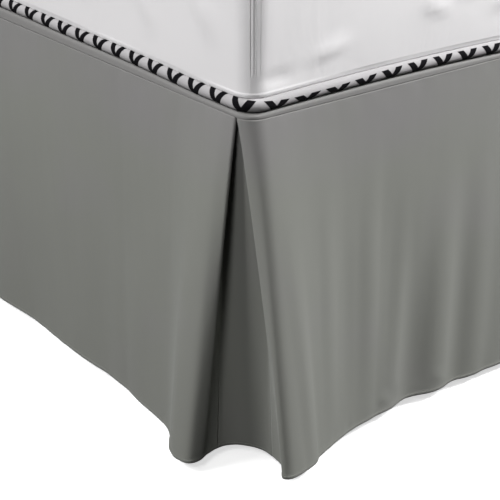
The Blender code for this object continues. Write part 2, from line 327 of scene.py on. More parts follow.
# The foundation's cover from its underside up over its edge, and over the seam above it: how far inwards
# and how far up.
COVER_EDGE = rows(
    Tuck,
    (0.016, 0.0),
    (0.008, 0.0008),
    (0.003, 0.0030),
    (0.0010, 0.0065),
    (0.0004, 0.0110),
    (0.0004, 0.0150),
    (0.0016, 0.0170),
    (0.0022, 0.0180),
    (0.0012, 0.0190),
    (0.0004, 0.0215),
)

LEGS = 6
LEG_TAPER = 0.75
LEG_FACES = 48
GLIDE = 0.004


# ---- settings ----


def length_setting(name, description, default):
    return FloatProperty(
        name=name, description=description, default=default, min=0.0, unit="LENGTH", precision=4
    )


def share_setting(name, description, default):
    return FloatProperty(
        name=name, description=description, default=default, min=0.0, max=1.0, subtype="FACTOR"
    )


def colour_setting(name, description, default):
    return FloatVectorProperty(
        name=name, description=description, default=default, min=0.0, max=1.0, size=3, subtype="COLOR"
    )


class SkirtSettings(PropertyGroup):
    colour: colour_setting("Cloth", "Colour of the brushed microfibre", (0.222, 0.226, 0.206))
    warm_colour: colour_setting("Warm cloth", "Colour where the cloth looks warmer", (0.228, 0.222, 0.222))
    thickness: length_setting("Cloth thickness", "Thickness of the cloth", CLOTH)
    hem_thickness: length_setting("Hem thickness", "Thickness of the narrow rolled hem", 0.0020)
    hem_height: length_setting("Hem height", "Height of the narrow rolled hem", 0.0045)
    stitch: length_setting("Stitch length", "Length of one stitch in the hem", 0.0030)
    pucker: length_setting("Puckers", "Depth of the small puckers along the hem", 0.0006)


class DeckSettings(PropertyGroup):
    colour: colour_setting("Deck cloth", "Colour of the deck's cloth", (0.226, 0.222, 0.218))
    thickness: length_setting("Deck thickness", "Thickness of the deck's cloth", 0.0013)


class MattressSettings(PropertyGroup):
    colour: colour_setting("Knit", "Colour of the stretch knit", (0.76, 0.747, 0.755))
    swell: length_setting("Border swell", "How far the border swells out between the piped edges", 0.0020)
    fill: share_setting("Fill", "How full the mattress is", 0.95)
    wrinkle: share_setting("Wrinkles", "Strength of the fine wrinkles in the knit", 0.5)


class PipingSettings(PropertyGroup):
    colour: colour_setting("Tape", "Colour of the piping's tape", (0.41, 0.40, 0.407))
    thread: colour_setting("Thread", "Colour of the overstitching", (0.006, 0.0055, 0.007))
    pitch: length_setting("Stitch pitch", "Distance between two chevrons of overstitching", 0.0354)
    spread: length_setting("Stitch spread", "Half the width of a chevron at its top", 0.0098)
    leg_width: length_setting("Stitch width", "Width of each leg of a chevron", 0.0070)


class FoundationSettings(PropertyGroup):
    colour: colour_setting("Cover", "Colour of the woven cover", (0.56, 0.55, 0.53))


class LegSettings(PropertyGroup):
    colour: colour_setting("Wood", "Colour of the stained wood", (0.045, 0.030, 0.022))
    grain: colour_setting("Grain", "Colour of the darker grain", (0.016, 0.011, 0.009))


class StageSettings(PropertyGroup):
    floor: colour_setting("Floor", "Colour of the studio floor", (0.86, 0.86, 0.86))
    lens: FloatProperty(
        name="Lens", description="Focal length of the camera", default=108.07, unit="CAMERA"
    )


class BedSkirtSettings(PropertyGroup):
    skirt: PointerProperty(name="Skirt", type=SkirtSettings)
    deck: PointerProperty(name="Deck", type=DeckSettings)
    mattress: PointerProperty(name="Mattress", type=MattressSettings)
    piping: PointerProperty(name="Piping", type=PipingSettings)
    foundation: PointerProperty(name="Foundation", type=FoundationSettings)
    legs: PointerProperty(name="Legs", type=LegSettings)
    stage: PointerProperty(name="Stage", type=StageSettings)


# ---- shader sums ----


class Value:
    """A shader socket that can be used in sums: each operator adds the node that works it out."""

    def __init__(self, finish, socket):
        self.finish = finish
        self.socket = socket

    def maths(self, operation, *others):
        values = dict(enumerate((self, *others)))
        return self.finish.add("ShaderNodeMath", {"operation": operation}, values)

    def __add__(self, other):
        return self.maths("ADD", other)

    def __sub__(self, other):
        return self.maths("SUBTRACT", other)

    def __rsub__(self, other):
        return (self * -1.0) + other

    def __rtruediv__(self, other):
        return self**-1.0 * other

    def __mul__(self, other):
        return self.maths("MULTIPLY", other)

    def __truediv__(self, other):
        return self.maths("DIVIDE", other)

    def __pow__(self, other):
        return self.maths("POWER", other)

    def __abs__(self):
        return self.maths("ABSOLUTE")

    __radd__ = __add__
    __rmul__ = __mul__

    def part_of(self, pitch):
        """How far this lies from the nearest whole number of pitches, in the same units."""
        return abs(self.maths("PINGPONG", pitch / 2))

    def held(self):
        """This, kept between 0 and 1."""
        return self.maths("MAXIMUM", 0.0).maths("MINIMUM", 1.0)

    def fade(self, start, end, before=1.0, after=0.0):
        """Goes smoothly from before to after while this goes from start to end, the larger of the two."""
        ends = {"From Min": start, "From Max": end, "To Min": before, "To Max": after}
        return self.finish.add(
            "ShaderNodeMapRange", {"interpolation_type": "SMOOTHSTEP"}, {"Value": self, **ends}
        )


class Finish:
    """A procedural material on one Principled shader."""

    def __init__(self, name, **uniform):
        self.material = bpy.data.materials.new(name)
        self.material.use_nodes = True
        self.tree = self.material.node_tree
        self.shader = self.tree.nodes["Principled BSDF"]
        for socket, value in uniform.items():
            self.shader.inputs[socket.replace("_", " ")].default_value = value

    def add(self, kind, settings, inputs, output=0):
        """Adds a node: its settings first, then its sockets' values or links, and returns an output."""
        node = self.tree.nodes.new(kind)
        for setting, value in settings.items():
            setattr(node, setting, value)
        for name, value in inputs.items():
            self.feed(node.inputs[name], value)
        return Value(self, node.outputs[output])

    def feed(self, socket, value):
        if isinstance(value, Value):
            self.tree.links.new(value.socket, socket)
        else:
            socket.default_value = value

    def shade(self, name, value):
        self.feed(self.shader.inputs[name], value)

    def uv(self):
        return self.add("ShaderNodeUVMap", {"uv_map": "cloth"}, {})

    def place(self):
        return self.add("ShaderNodeTexCoord", {}, {}, "Object")

    def axes(self, vector):
        split = self.tree.nodes.new("ShaderNodeSeparateXYZ")
        self.feed(split.inputs[0], vector)
        return [Value(self, output) for output in split.outputs]

    def joined(self, x, y, z=0.0):
        return self.add("ShaderNodeCombineXYZ", {}, {"X": x, "Y": y, "Z": z})

    def times(self, vector, factor):
        """A vector or a colour times another, part by part."""
        return self.add("ShaderNodeVectorMath", {"operation": "MULTIPLY"}, {0: vector, 1: factor})

    def cloud(self, vector, scale, detail=2.0, roughness=0.5, distortion=0.0):
        """A soft noise about zero, between about -0.5 and 0.5."""
        sockets = {"Vector": vector, "Scale": scale, "Detail": detail}
        sockets |= {"Roughness": roughness, "Distortion": distortion}
        return self.add("ShaderNodeTexNoise", {}, sockets) - 0.5

    def grain(self, vector, scale, detail, roughness=0.5, distortion=0.0):
        """A soft noise about zero, with its own scale along each axis."""
        return self.cloud(self.times(vector, scale), 1.0, detail, roughness, distortion)

    def wave(self, value, pitch):
        """Runs up and down between -1 and 1 once every pitch."""
        return (value * (2 * math.pi / pitch)).maths("SINE")

    def mix(self, factor, first, second):
        return self.add("ShaderNodeMix", {"data_type": "RGBA"}, {0: factor, 6: first, 7: second}, 2)

    def tone(self, colour, shade):
        """The colour made lighter or darker by a shade about 1."""
        grey = self.joined(shade, shade, shade)
        base = colour if isinstance(colour, Value) else tuple(colour)
        return self.times(base, grey)

    def relief(self, height):
        """A bump from a height in metres."""
        sockets = {"Strength": 1.0, "Distance": 1.0, "Height": height}
        self.shade("Normal", self.add("ShaderNodeBump", {}, sockets))


def rgba(colour):
    return (*colour, 1.0)


def microfibre_finish(skirt):
    """Brushed microfibre: a fine short nap with soft stroke marks, and a narrow stitched hem, with painted
    shade along the hem's fold and between its stitches.
    """
    cloth = Finish("brushed microfibre", Sheen_Weight=0.30, Sheen_Roughness=0.45, Specular_IOR_Level=0.25)
    cloth.shader.inputs["Sheen Tint"].default_value = (0.80, 0.82, 0.80, 1.0)
    place = cloth.uv()
    along, height, _ = cloth.axes(place)
    broad = cloth.cloud(place, 5.0, 3.0)
    strokes = cloth.grain(place, (34.0, 7.0, 1.0), 3.0, 0.55, 0.4)
    nap = cloth.cloud(place, 1500.0, 2.0)
    weave = cloth.wave(along + height, 0.0011) * cloth.wave(along - height, 0.0011)
    # The hem's fold: a slight dip in the bump, and painted shade along the crease.
    hem_fold_and_shade = abs(height - skirt.hem_height).fade(0.0, 0.0006)
    in_row = abs(height - skirt.hem_height * 0.62).fade(0.00025, 0.00045)
    stitched = along.part_of(skirt.stitch).fade(skirt.stitch * 0.36, skirt.stitch * 0.44)
    thread = in_row * stitched
    # The gaps between the stitches sink a little and are darkened with painted shade.
    stitch_gap_and_shade = in_row * (1.0 - stitched)
    shade = 1.0 + broad * 0.11 + strokes * 0.07 + nap * 0.10 + weave * 0.012
    shade = shade - hem_fold_and_shade * 0.22 - stitch_gap_and_shade * 0.35
    near_top = height.fade(CLOTH_DROP - 0.11, CLOTH_DROP - 0.01, 0.0, 0.75)
    warmth = cloth.cloud(place, 7.0, 2.0) * 1.6 + near_top
    hue = cloth.mix(warmth.held(), rgba(skirt.colour), rgba(skirt.warm_colour))
    colour = cloth.tone(hue, shade)
    thread_colour = rgba([part * 1.25 for part in skirt.colour])
    cloth.shade("Base Color", cloth.mix(thread * 0.8, colour, thread_colour))
    cloth.shade("Roughness", 0.80 + broad * 0.08 + nap * 0.12 - thread * 0.2)
    height_of = nap * 0.00016 + weave * 0.000018 + strokes * 0.00030
    cloth.relief(height_of + thread * 0.00022 - stitch_gap_and_shade * 0.00018 - hem_fold_and_shade * 0.00020)
    return cloth.material


def deck_finish(deck):
    """Thin spun-bonded cloth, pressed all over with small dots."""
    cloth = Finish("spun-bonded deck cloth", Sheen_Weight=0.12, Specular_IOR_Level=0.3)
    place = cloth.uv()
    across, along, _ = cloth.axes(place)
    slant, counter = across + along, across - along
    dots = slant.part_of(0.0022).fade(0.0002, 0.0006) * counter.part_of(0.0022).fade(0.0002, 0.0006)
    broad = cloth.cloud(place, 6.0, 3.0)
    fibres = cloth.grain(place, (900.0, 260.0, 1.0), 3.0)
    cloth.shade("Base Color", cloth.tone(deck.colour, 1.0 + broad * 0.10 + fibres * 0.16 - dots * 0.10))
    cloth.shade("Roughness", 0.82 + fibres * 0.14 - dots * 0.15)
    cloth.relief(fibres * 0.00010 - dots * 0.00012 + broad * 0.0010)
    return cloth.material


def knit_finish(mattress):
    """Thick stretch knit: fine wales of small loops over a soft filling, and the border's upright seam
    with painted shade in its grooves and a painted highlight on its ridges.
    """
    knit = Finish("stretch knit", Sheen_Weight=0.15, Sheen_Roughness=0.5, Specular_IOR_Level=0.25)
    place = knit.uv()
    along, height, _ = knit.axes(place)
    wander = knit.cloud(place, 40.0, 2.0) * 0.0008
    wales = knit.wave(along + wander, 0.0013)
    courses = knit.wave(height + abs(wales) * 0.0004, 0.0010)
    broad = knit.cloud(place, 4.0, 2.0)
    soft = knit.grain(place, (16.0, 9.0, 1.0), 3.0, 0.5, 0.8)
    fuzz = knit.cloud(place, 900.0, 2.0)
    off = along - BORDER_SEAM
    low = MATTRESS_LOW.z + BORDER_SEAM_FOOT
    sewn = height.fade(low, low + 0.006, 0.0, 1.0)
    # The upright seam: its grooves get painted shade and its ridges a painted highlight, on top of their
    # bump.
    groove_depth_and_shade = abs(off).fade(0.0, 0.0011) + abs(off + 0.0040).fade(0.0, 0.0011)
    groove_depth_and_shade = groove_depth_and_shade + abs(off - 0.0048).fade(0.0, 0.0014) * 0.4
    ridge_height_and_highlight = abs(off + 0.0020).fade(0.0003, 0.0013) + abs(off - 0.0016).fade(0.0003, 0.0013)
    seam = (groove_depth_and_shade - ridge_height_and_highlight * 0.7) * sewn
    shade = 0.985 + wales * courses * 0.012 + broad * 0.03 + fuzz * 0.03 - seam * 0.04
    knit.shade("Base Color", knit.tone(mattress.colour, shade))
    knit.shade("Roughness", 0.86 + fuzz * 0.10 - wales * 0.03)
    fine = wales * 0.000018 + courses * 0.000015 + fuzz * 0.00005 - seam * 0.00045
    knit.relief(fine + soft * (0.0022 * mattress.wrinkle) + broad * (0.004 * mattress.wrinkle))
    return knit.material


def piping_finish(piping):
    """Round piping in a white tape, overstitched with chevrons in satin thread, with a painted contact
    shadow line below them.

    The map runs round the bed and, round the piping itself, up from its outermost line, both in metres.
    """
    tape = Finish("overstitched piping", Specular_IOR_Level=0.05)
    around, up, _ = tape.axes(tape.uv())
    pitch = PERIMETER / round(PERIMETER / piping.pitch)
    signed_around = around - around.maths("GREATER_THAN", PERIMETER / 2) * PERIMETER
    low = STITCH_LOW
    high = 0.0
    for start, end, before, after in STITCH_CHANGES:
        high = signed_around.fade(start, end, STITCH_TOP * before, STITCH_TOP * after) + high
    rise = high - low
    share = ((up - low) / rise).held()
    slope = piping.spread / rise
    drift = signed_around.fade(-0.25, -0.11, 0.0, 0.006) * signed_around.fade(0.03, 0.12)
    from_vertex = (around + drift + (CHEVRON_START + 100 * pitch)).part_of(pitch)
    off_leg = abs(from_vertex - share * piping.spread) / (slope * slope + 1.0).maths("SQRT")
    half = piping.leg_width / 2
    edge = 0.0003
    between = up.fade(low - edge, low, 0.0, 1.0) * (up - high).fade(-edge, edge)
    legs = off_leg.fade(half - edge, half + edge) * between
    # A painted contact shadow: a dark line in the thread's colour along the piping's lower side, at full
    # strength near the left foot corner and weaker elsewhere.
    shadow_wobble = tape.grain(tape.joined(around, up), (60.0, 0.0, 0.0), 2.0)
    half_way = PERIMETER / 2
    near_corner = abs(around - half_way).fade(half_way - 0.45, half_way - 0.10, 0.45, 1.0)
    line = abs(up - CONTACT_SHADOW_LEVEL + shadow_wobble * 0.0006).fade(0.0004, 0.0008) * near_corner
    dark = legs.maths("MAXIMUM", line)
    satin = tape.wave(up + around * 0.35, 0.00055)
    ribs = tape.wave(around, 0.0010)
    fuzz = tape.cloud(tape.joined(around, up), 900.0, 2.0)
    soil = tape.cloud(tape.joined(around, up), 30.0, 3.0)
    cloth = tape.tone(piping.colour, 1.0 + soil * 0.05 + fuzz * 0.06 + ribs * 0.015)
    thread = tape.tone(piping.thread, 1.0 + satin * 0.25 + fuzz * 0.3)
    tape.shade("Base Color", tape.mix(dark, cloth, thread))
    tape.shade("Roughness", 0.80 + fuzz * 0.10 - dark * 0.12)
    plain = (1.0 - dark) * (ribs * 0.00005 + fuzz * 0.00006)
    tape.relief(dark * 0.00035 + dark * satin * 0.00007 + plain)
    return tape.material


def cover_finish(foundation):
    """Plain woven cover over the box foundation."""
    cover = Finish("woven cover", Sheen_Weight=0.08, Specular_IOR_Level=0.3)
    place = cover.uv()
    along, height, _ = cover.axes(place)
    warp = cover.wave(along, 0.0016)
    weft = cover.wave(height, 0.0016)
    slub = cover.grain(place, (60.0, 900.0, 1.0), 2.0)
    broad = cover.cloud(place, 3.0, 3.0)
    shade = 0.98 + warp * weft * 0.05 + slub * 0.10 + broad * 0.06
    cover.shade("Base Color", cover.tone(foundation.colour, shade))
    cover.shade("Roughness", 0.84 + slub * 0.1)
    cover.relief(warp * 0.00006 + weft * 0.00006 + slub * 0.00010 + broad * 0.0012)
    return cover.material


def wood_finish(leg):
    """Dark stained wood, its grain running up the leg, with a satin lacquer."""
    wood = Finish("stained wood", Coat_Weight=0.25, Coat_Roughness=0.25)
    place = wood.place()
    rings = wood.grain(place, (60.0, 60.0, 4.0), 4.0, 0.6, 0.6)
    pores = wood.grain(place, (900.0, 900.0, 30.0), 2.0)
    grain = (rings * 1.6 + pores * 0.8).fade(-0.35, 0.45, 0.0, 1.0)
    wood.shade("Base Color", wood.mix(grain, rgba(leg.grain), rgba(leg.colour)))
    wood.shade("Roughness", 0.42 - rings * 0.12 + pores * 0.12)
    wood.relief(pores * 0.00008 + rings * 0.00012)
    return wood.material


def felt_finish():
    """The felt glide under each leg."""
    felt = Finish("grey felt", Sheen_Weight=0.3)
    fibres = felt.cloud(felt.place(), 1400.0, 3.0)
    felt.shade("Base Color", felt.tone((0.10, 0.098, 0.092), 1.0 + fibres * 0.6))
    felt.shade("Roughness", 0.92 + fibres * 0.1)
    felt.relief(fibres * 0.0003)
    return felt.material


def floor_finish(stage):
    """The pale studio floor."""
    floor = Finish("studio floor", Specular_IOR_Level=0.1, Emission_Strength=0.75)
    mottle = floor.cloud(floor.place(), 2.0, 3.0)
    floor.shade("Base Color", floor.tone(stage.floor, 1.0 + mottle * 0.01))
    floor.shade("Emission Color", rgba(stage.floor))
    floor.shade("Roughness", 0.92 + mottle * 0.04)
    return floor.material


# ---- plan curves ----


def edge_point(along, layer):
    """Where a line of cloth meets the deck's edge, as (side, foot), along the edge and layers inwards."""
    inset = CLOTH / 2 + layer * LAYER_PITCH
    arc = CORNER_RADIUS * math.pi / 2
    if along <= 0:
        return Vector((CORNER_RADIUS - along, inset))
    if along >= arc:
        return Vector((inset, CORNER_RADIUS + along - arc))
    turn = along / CORNER_RADIUS
    radius = CORNER_RADIUS - inset
    return Vector((CORNER_RADIUS - radius * math.sin(turn), CORNER_RADIUS - radius * math.cos(turn)))


def top_edge():
    """The points of the pleat's top edge, and the number of the point at each seam."""
    first = PLEAT_TOP[0]
    points = [edge_point(first.start * MM, first.layer)]
    seams = []
    before = first
    for run in PLEAT_TOP:
        if run.piece != before.piece:
            seams.append(len(points) - 1)
        if run.layer != before.layer:
            turn_out = math.copysign(LAYER_PITCH / 2, before.end - before.start)
            for step in range(1, TURN_STEPS + 1):
                angle = math.pi * step / TURN_STEPS
                layer = before.layer + (run.layer - before.layer) * (1 - math.cos(angle)) / 2
                points.append(edge_point(run.start * MM + turn_out * math.sin(angle), layer))
        length = (run.end - run.start) * MM
        steps = math.ceil(abs(length) / FINE_STEP)
        for step in range(1, steps + 1):
            points.append(edge_point(run.start * MM + length * step / steps, run.layer))
        before = run
    return points, seams


def smooth_curve(turns, steps):
    """A smooth curve through the turns, which passes each parallel to the line between its neighbours."""
    turns = [2 * turns[0] - turns[1], *turns, 2 * turns[-1] - turns[-2]]
    points = [turns[1]]
    for before, start, end, after in zip(turns, turns[1:], turns[2:], turns[3:]):
        bend = 2 * before - 5 * start + 4 * end - after
        twist = 3 * start - before - 3 * end + after
        for step in range(1, steps + 1):
            part = step / steps
            points.append(start + 0.5 * part * (end - before + part * (bend + part * twist)))
    return points


def lengths_along(points):
    lengths = [0.0]
    for before, after in zip(points, points[1:]):
        lengths.append(lengths[-1] + (after - before).length)
    return lengths


def point_at(points, lengths, length):
    """The point at this length along a line of points."""
    index = min(max(bisect.bisect(lengths, length), 1), len(points) - 1)
    part = (length - lengths[index - 1]) / (lengths[index] - lengths[index - 1])
    return points[index - 1].lerp(points[index], part)


# A line of cloth from its place on the top edge to its place on the hem, and how far along the cloth it
# is.
Line = namedtuple("Line", "top hem along")


def pleat_lines(piece, hand):
    """The lines of one piece of a corner's cloth, which is the same part of the way along hem and top."""
    tops, seams = top_edge()
    lengths = lengths_along(tops)
    hem = smooth_curve([Vector((turn.side, turn.foot)) * MM for turn in PLEAT_HEM], HEM_SMOOTHING)
    hem_lengths = lengths_along(hem)
    share = hem_lengths[-1] / lengths[-1]
    side_seam, foot_seam = (lengths[seam] for seam in seams)
    first, last = {
        "side": (0.0, side_seam - SEAM_GAP / 2),
        "insert": (side_seam + SEAM_GAP / 2, foot_seam - SEAM_GAP / 2),
        "foot": (foot_seam + SEAM_GAP / 2, lengths[-1]),
    }[piece]
    places = [first, *(length for length in lengths if first < length < last), last]
    return [
        Line(
            corner_world(point_at(tops, lengths, place), hand),
            corner_world(point_at(hem, hem_lengths, place * share), hand),
            place,
        )
        for place in places
    ]


def corner_world(plan, hand):
    """World x and y of a corner's plan point: hand is -1 at the left foot corner and 1 at the right."""
    return Vector((hand * (HALF_WIDTH - plan.y), FOOT_Y + plan.x))


def outline(inset, foot_radius, head_radius):
    """The bed's plan moved inwards, anticlockwise and closed, from the middle of the left foot corner."""
    half = HALF_WIDTH - inset
    low, high = FOOT_Y + inset, HEAD_Y - inset
    foot, head = (min(max(radius, MM / 10), half * 0.8) for radius in (foot_radius, head_radius))
    corners = (
        (-half + foot, low + foot, foot, 180),
        (half - foot, low + foot, foot, 270),
        (half - head, high - head, head, 0),
        (-half + head, high - head, head, 90),
    )
    points = []
    for number, (x, y, radius, start) in enumerate(corners):
        for step in range(ARC_STEPS + 1):
            angle = math.radians(start + 90 * step / ARC_STEPS)
            points.append(Vector((x + radius * math.cos(angle), y + radius * math.sin(angle))))
        x, y, radius, start = corners[(number + 1) % 4]
        corner_end = points[-1]
        angle = math.radians(start)
        ahead = Vector((x + radius * math.cos(angle), y + radius * math.sin(angle)))
        count = round((BED_LENGTH if number % 2 else BED_WIDTH) / STRAIGHT_STEP)
        points += [corner_end.lerp(ahead, step / count) for step in range(1, count)]
    middle = ARC_STEPS // 2
    return points[middle:] + points[: middle + 1]


def outline_normal(point):
    """Outwards from the bed at a point near its outline, turning evenly round the corners."""
    middle = (FOOT_Y + HEAD_Y) / 2
    across = abs(point.x) - (HALF_WIDTH - MATTRESS_RADIUS)
    along = abs(point.y - middle) - (BED_LENGTH / 2 - MATTRESS_RADIUS)
    way = Vector((max(across, 0.0), max(along, 0.0)))
    if way.length == 0.0:
        return way
    way.normalize()
    return Vector((math.copysign(way.x, point.x), math.copysign(way.y, point.y - middle)))


# How far round the bed each point of an outline is, from the middle of the left foot corner.
AROUND = lengths_along(outline(0.0, MATTRESS_RADIUS, MATTRESS_RADIUS))
PERIMETER = AROUND[-1]


def signed(around):
    """The distance round the bed from the left foot corner, minus along the left side."""
    return around - PERIMETER if around > PERIMETER / 2 else around


def ease(value):
    held = min(max(value, 0.0), 1.0)
    return held * held * (3 - 2 * held)


def bell(reach):
    return math.cos(min(abs(reach), 1.0) * math.pi / 2) ** 2


def crease_relief(creases, along, drop):
    """How far the listed ridges and troughs stand out at this place in the cloth."""
    total = 0.0
    for crease in creases:
        run = crease.to_along - crease.along
        fall = crease.to_drop - crease.drop
        across, down = along - crease.along, drop - crease.drop
        if abs(across - run / 2) > abs(run) / 2 + crease.half_width:
            continue
        share = (across * run + down * fall) / (run * run + fall * fall)
        held = min(max(share, 0.0), 1.0)
        off = math.hypot(across - run * held, down - fall * held)
        if off < crease.half_width:
            rise = bell((held - crease.peak) / max(crease.peak, 1 - crease.peak))
            total += crease.out * rise * bell(off / crease.half_width)
    return total


# ---- making pieces ----


def add_piece(name, bm, material, smooth_angle):
    """Makes a finished mesh an object, shaded smooth but for edges that turn by more than the angle."""
    mesh = bpy.data.meshes.new(name)
    bm.to_mesh(mesh)
    bm.free()
    mesh.materials.append(material)
    mesh.shade_smooth()
    mesh.set_sharp_from_angle(angle=math.radians(smooth_angle))
    piece = bpy.data.objects.new(name, mesh)
    bpy.context.scene.collection.objects.link(piece)
    return piece


def settle(piece, slot, *nodes):
    """Fixes a piece to the bed and hides the plain solids it stands for."""
    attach(piece, "root")
    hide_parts(*nodes)
    return piece


def grid_of(rows):
    """A grid of faces through rows of points, as a bmesh whose vertices are in the same order."""
    bm = bmesh.new()
    bmesh.ops.create_grid(bm, x_segments=len(rows[0]) - 1, y_segments=len(rows) - 1, size=1.0)
    bm.verts.ensure_lookup_table()
    for index, vert in enumerate(bm.verts):
        row, column = divmod(index, len(rows[0]))
        vert.co = rows[row][column]
    return bm


def map_cloth(bm, columns, place):
    """Gives each corner of each face its place in the cloth, from place(row, column, vertex, face)."""
    cloth = bm.loops.layers.uv.new("cloth")
    bm.normal_update()
    for face in bm.faces:
        for loop in face.loops:
            row, column = divmod(loop.vert.index, columns)
            loop[cloth].uv = place(row, column, loop.vert, face)


# ---- the skirt ----


def drop_rows(skirt):
    """How far down the cloth each row is: they lie close together at the seam and at the hem."""
    seam = [0.0, 0.0012, 0.0026, 0.0042, 0.0062, 0.0088]
    hem = skirt.hem_height
    fringe = [0.0130, 0.0100, *(hem * share for share in (1.7, 1.35, 1.15, 1.02, 0.85, 0.6, 0.3))]
    low = CLOTH_DROP - HEM_ROWS_FROM
    count = math.ceil((low - seam[-1]) / ROW_STEP)
    middle = [seam[-1] + (low - seam[-1]) * step / count for step in range(1, count + 1)]
    return [*seam, *middle, *(CLOTH_DROP - up for up in fringe), CLOTH_DROP]


def hem_puckers(skirt, along, up):
    """Small uneven puckers that fade out above the hem."""
    fade = ease(1 - up / PUCKER_HEIGHT)
    if fade == 0.0:
        return 0.0
    slow = noise.noise(Vector((along * 9.0, 3.7, 0.0)))
    quick = noise.noise(Vector((along * 95.0, up * 30.0, 1.3)))
    return skirt.pucker * fade * (quick * (0.8 + 0.9 * slow))


def seam_puckers(along, drop):
    """Tiny gathers just under the seam."""
    uneven = noise.noise(Vector((along * 60.0, drop * 20.0, 8.1)))
    return ease(1 - drop / GATHER_DEPTH) * uneven * 0.0006 * ease(drop / 0.004)


def hang(name, lines, creases, turned, skirt, material):
    """A hanging sheet through its lines of cloth. turned is 1 where its outside is on their left."""
    drops = drop_rows(skirt)
    rows = []
    for drop in drops:
        down = drop / CLOTH_DROP
        swing = down**FLARE_CURVE
        rows.append([Vector((*line.top.lerp(line.hem, swing), SKIRT_TOP - drop)) for line in lines])
    last_row, last_column = len(rows) - 1, len(lines) - 1
    shaped = []
    for number, row in enumerate(rows):
        drop = drops[number]
        above, below = rows[max(number - 1, 0)], rows[min(number + 1, last_row)]
        points = []
        for column, point in enumerate(row):
            ahead = row[min(column + 1, last_column)] - row[max(column - 1, 0)]
            outwards = turned * (below[column] - above[column]).cross(ahead).normalized()
            along = lines[column].along
            out = crease_relief(creases, along, drop)
            out += hem_puckers(skirt, along, CLOTH_DROP - drop) + seam_puckers(along, drop)
            points.append(point + outwards * out)
        shaped.append(points)
    bm = grid_of(shaped)

    def place(row, column, vert, face):
        return (lines[column].along, CLOTH_DROP - drops[row])

    map_cloth(bm, len(lines), place)
    bmesh.ops.recalc_face_normals(bm, faces=bm.faces)
    piece = add_piece(name, bm, material, 80)
    roll_hem(piece, skirt, [CLOTH_DROP - drops[vert.index // len(lines)] for vert in piece.data.vertices])
    return piece


def roll_hem(piece, skirt, heights):
    """Gives a hanging sheet its thickness, by how far each vertex is above the hem, which is thicker."""
    rolled = piece.vertex_groups.new(name="rolled hem")
    plain = skirt.thickness / skirt.hem_thickness
    for index, up in enumerate(heights):
        rounding = 0.72 + 0.28 * ease(up / (skirt.hem_height * 0.35))
        thick = plain + (1 - plain) * ease((skirt.hem_height * 1.12 - up) / (skirt.hem_height * 0.18))
        rolled.add([index], thick * rounding, "REPLACE")
    wall = piece.modifiers.new("cloth thickness", "SOLIDIFY")
    wall.thickness = skirt.hem_thickness
    wall.offset = 0.0
    wall.use_even_offset = False
    wall.vertex_group = rolled.name


def long_lines(place, start, end, start_along, flare):
    """Lines of a panel's long stretch between two distances along it, the last one left out.

    flare gives how far the hem swings outwards at a distance along the panel.
    """
    count = math.ceil(abs(end - start) / LONG_STEP)
    way = math.copysign(1.0, end - start)
    lines = []
    for step in range(count):
        at = start + (end - start) * step / count
        lines.append(Line(place(at, 0.0), place(at, flare(at)), start_along + way * (at - start)))
    return lines


def side_lines(hand):
    """The lines of a side panel from its head end to the pleat; along is measured from the bed's foot."""
    pleat = pleat_lines("side", hand)
    pleat_side = pleat[0].top.y - FOOT_Y
    swing = abs(pleat[0].hem.x) - abs(pleat[0].top.x)
    long_stretch = long_lines(
        lambda at, out: corner_world(Vector((at, CLOTH / 2 - out)), hand),
        BED_LENGTH,
        pleat_side,
        0.0,
        lambda at: swing * ease(1 - (at - pleat_side) / SIDE_FLARE_REACH),
    )
    lines = [Line(line.top, line.hem, BED_LENGTH - line.along) for line in long_stretch]
    return lines + [Line(line.top, line.hem, pleat_side - line.along) for line in pleat]


def foot_lines():
    """The lines of the foot panel from the left pleat to the right; along is measured from the left."""
    pleat = pleat_lines("foot", -1)
    pleat_end = pleat[-1].top.x + HALF_WIDTH
    swing = pleat[-1].top.y - pleat[-1].hem.y
    left = [Line(line.top, line.hem, pleat_end + line.along - pleat[-1].along) for line in pleat]
    middle = long_lines(
        lambda at, out: corner_world(Vector((CLOTH / 2 - out, at)), -1),
        pleat_end,
        BED_WIDTH - pleat_end,
        pleat_end,
        lambda at: swing * ease(1 - (min(at, BED_WIDTH - at) - pleat_end) / FOOT_FLARE_REACH),
    )
    right = [
        Line(line.top, line.hem, BED_WIDTH - pleat_end + pleat[-1].along - line.along)
        for line in reversed(pleat_lines("foot", 1))
    ]
    return left + middle[1:] + right


def declare_hung(piece, lines):
    """A panel is cut as long as its top edge, with its pleat laid flat, and as deep as its drop; this only
    works out that length and keeps nothing.
    """
    length = sum((after.top - before.top).length for before, after in zip(lines, lines[1:]))


def make_skirt(skirt):
    """Hangs the panels and the inserts of both corners."""
    material = microfibre_finish(skirt)
    for side, hand in (("left", -1), ("right", 1)):
        lines = side_lines(hand)
        piece = hang(f"skirt_side_{side}", lines, SIDE_CREASES, -hand, skirt, material)
        declare_hung(settle(piece, "skirt_cloth", f"side_panel_{side}"), lines)
        lines = pleat_lines("insert", hand)
        piece = hang(f"skirt_pleat_{side}", lines, (), -hand, skirt, material)
        declare_hung(settle(piece, "skirt_cloth", f"pleat_insert_{side}"), lines)
    lines = foot_lines()
    piece = hang("skirt_foot", lines, FOOT_CREASES, 1, skirt, material)
    declare_hung(settle(piece, "skirt_cloth", "foot_panel"), lines)


# ---- the bed ----


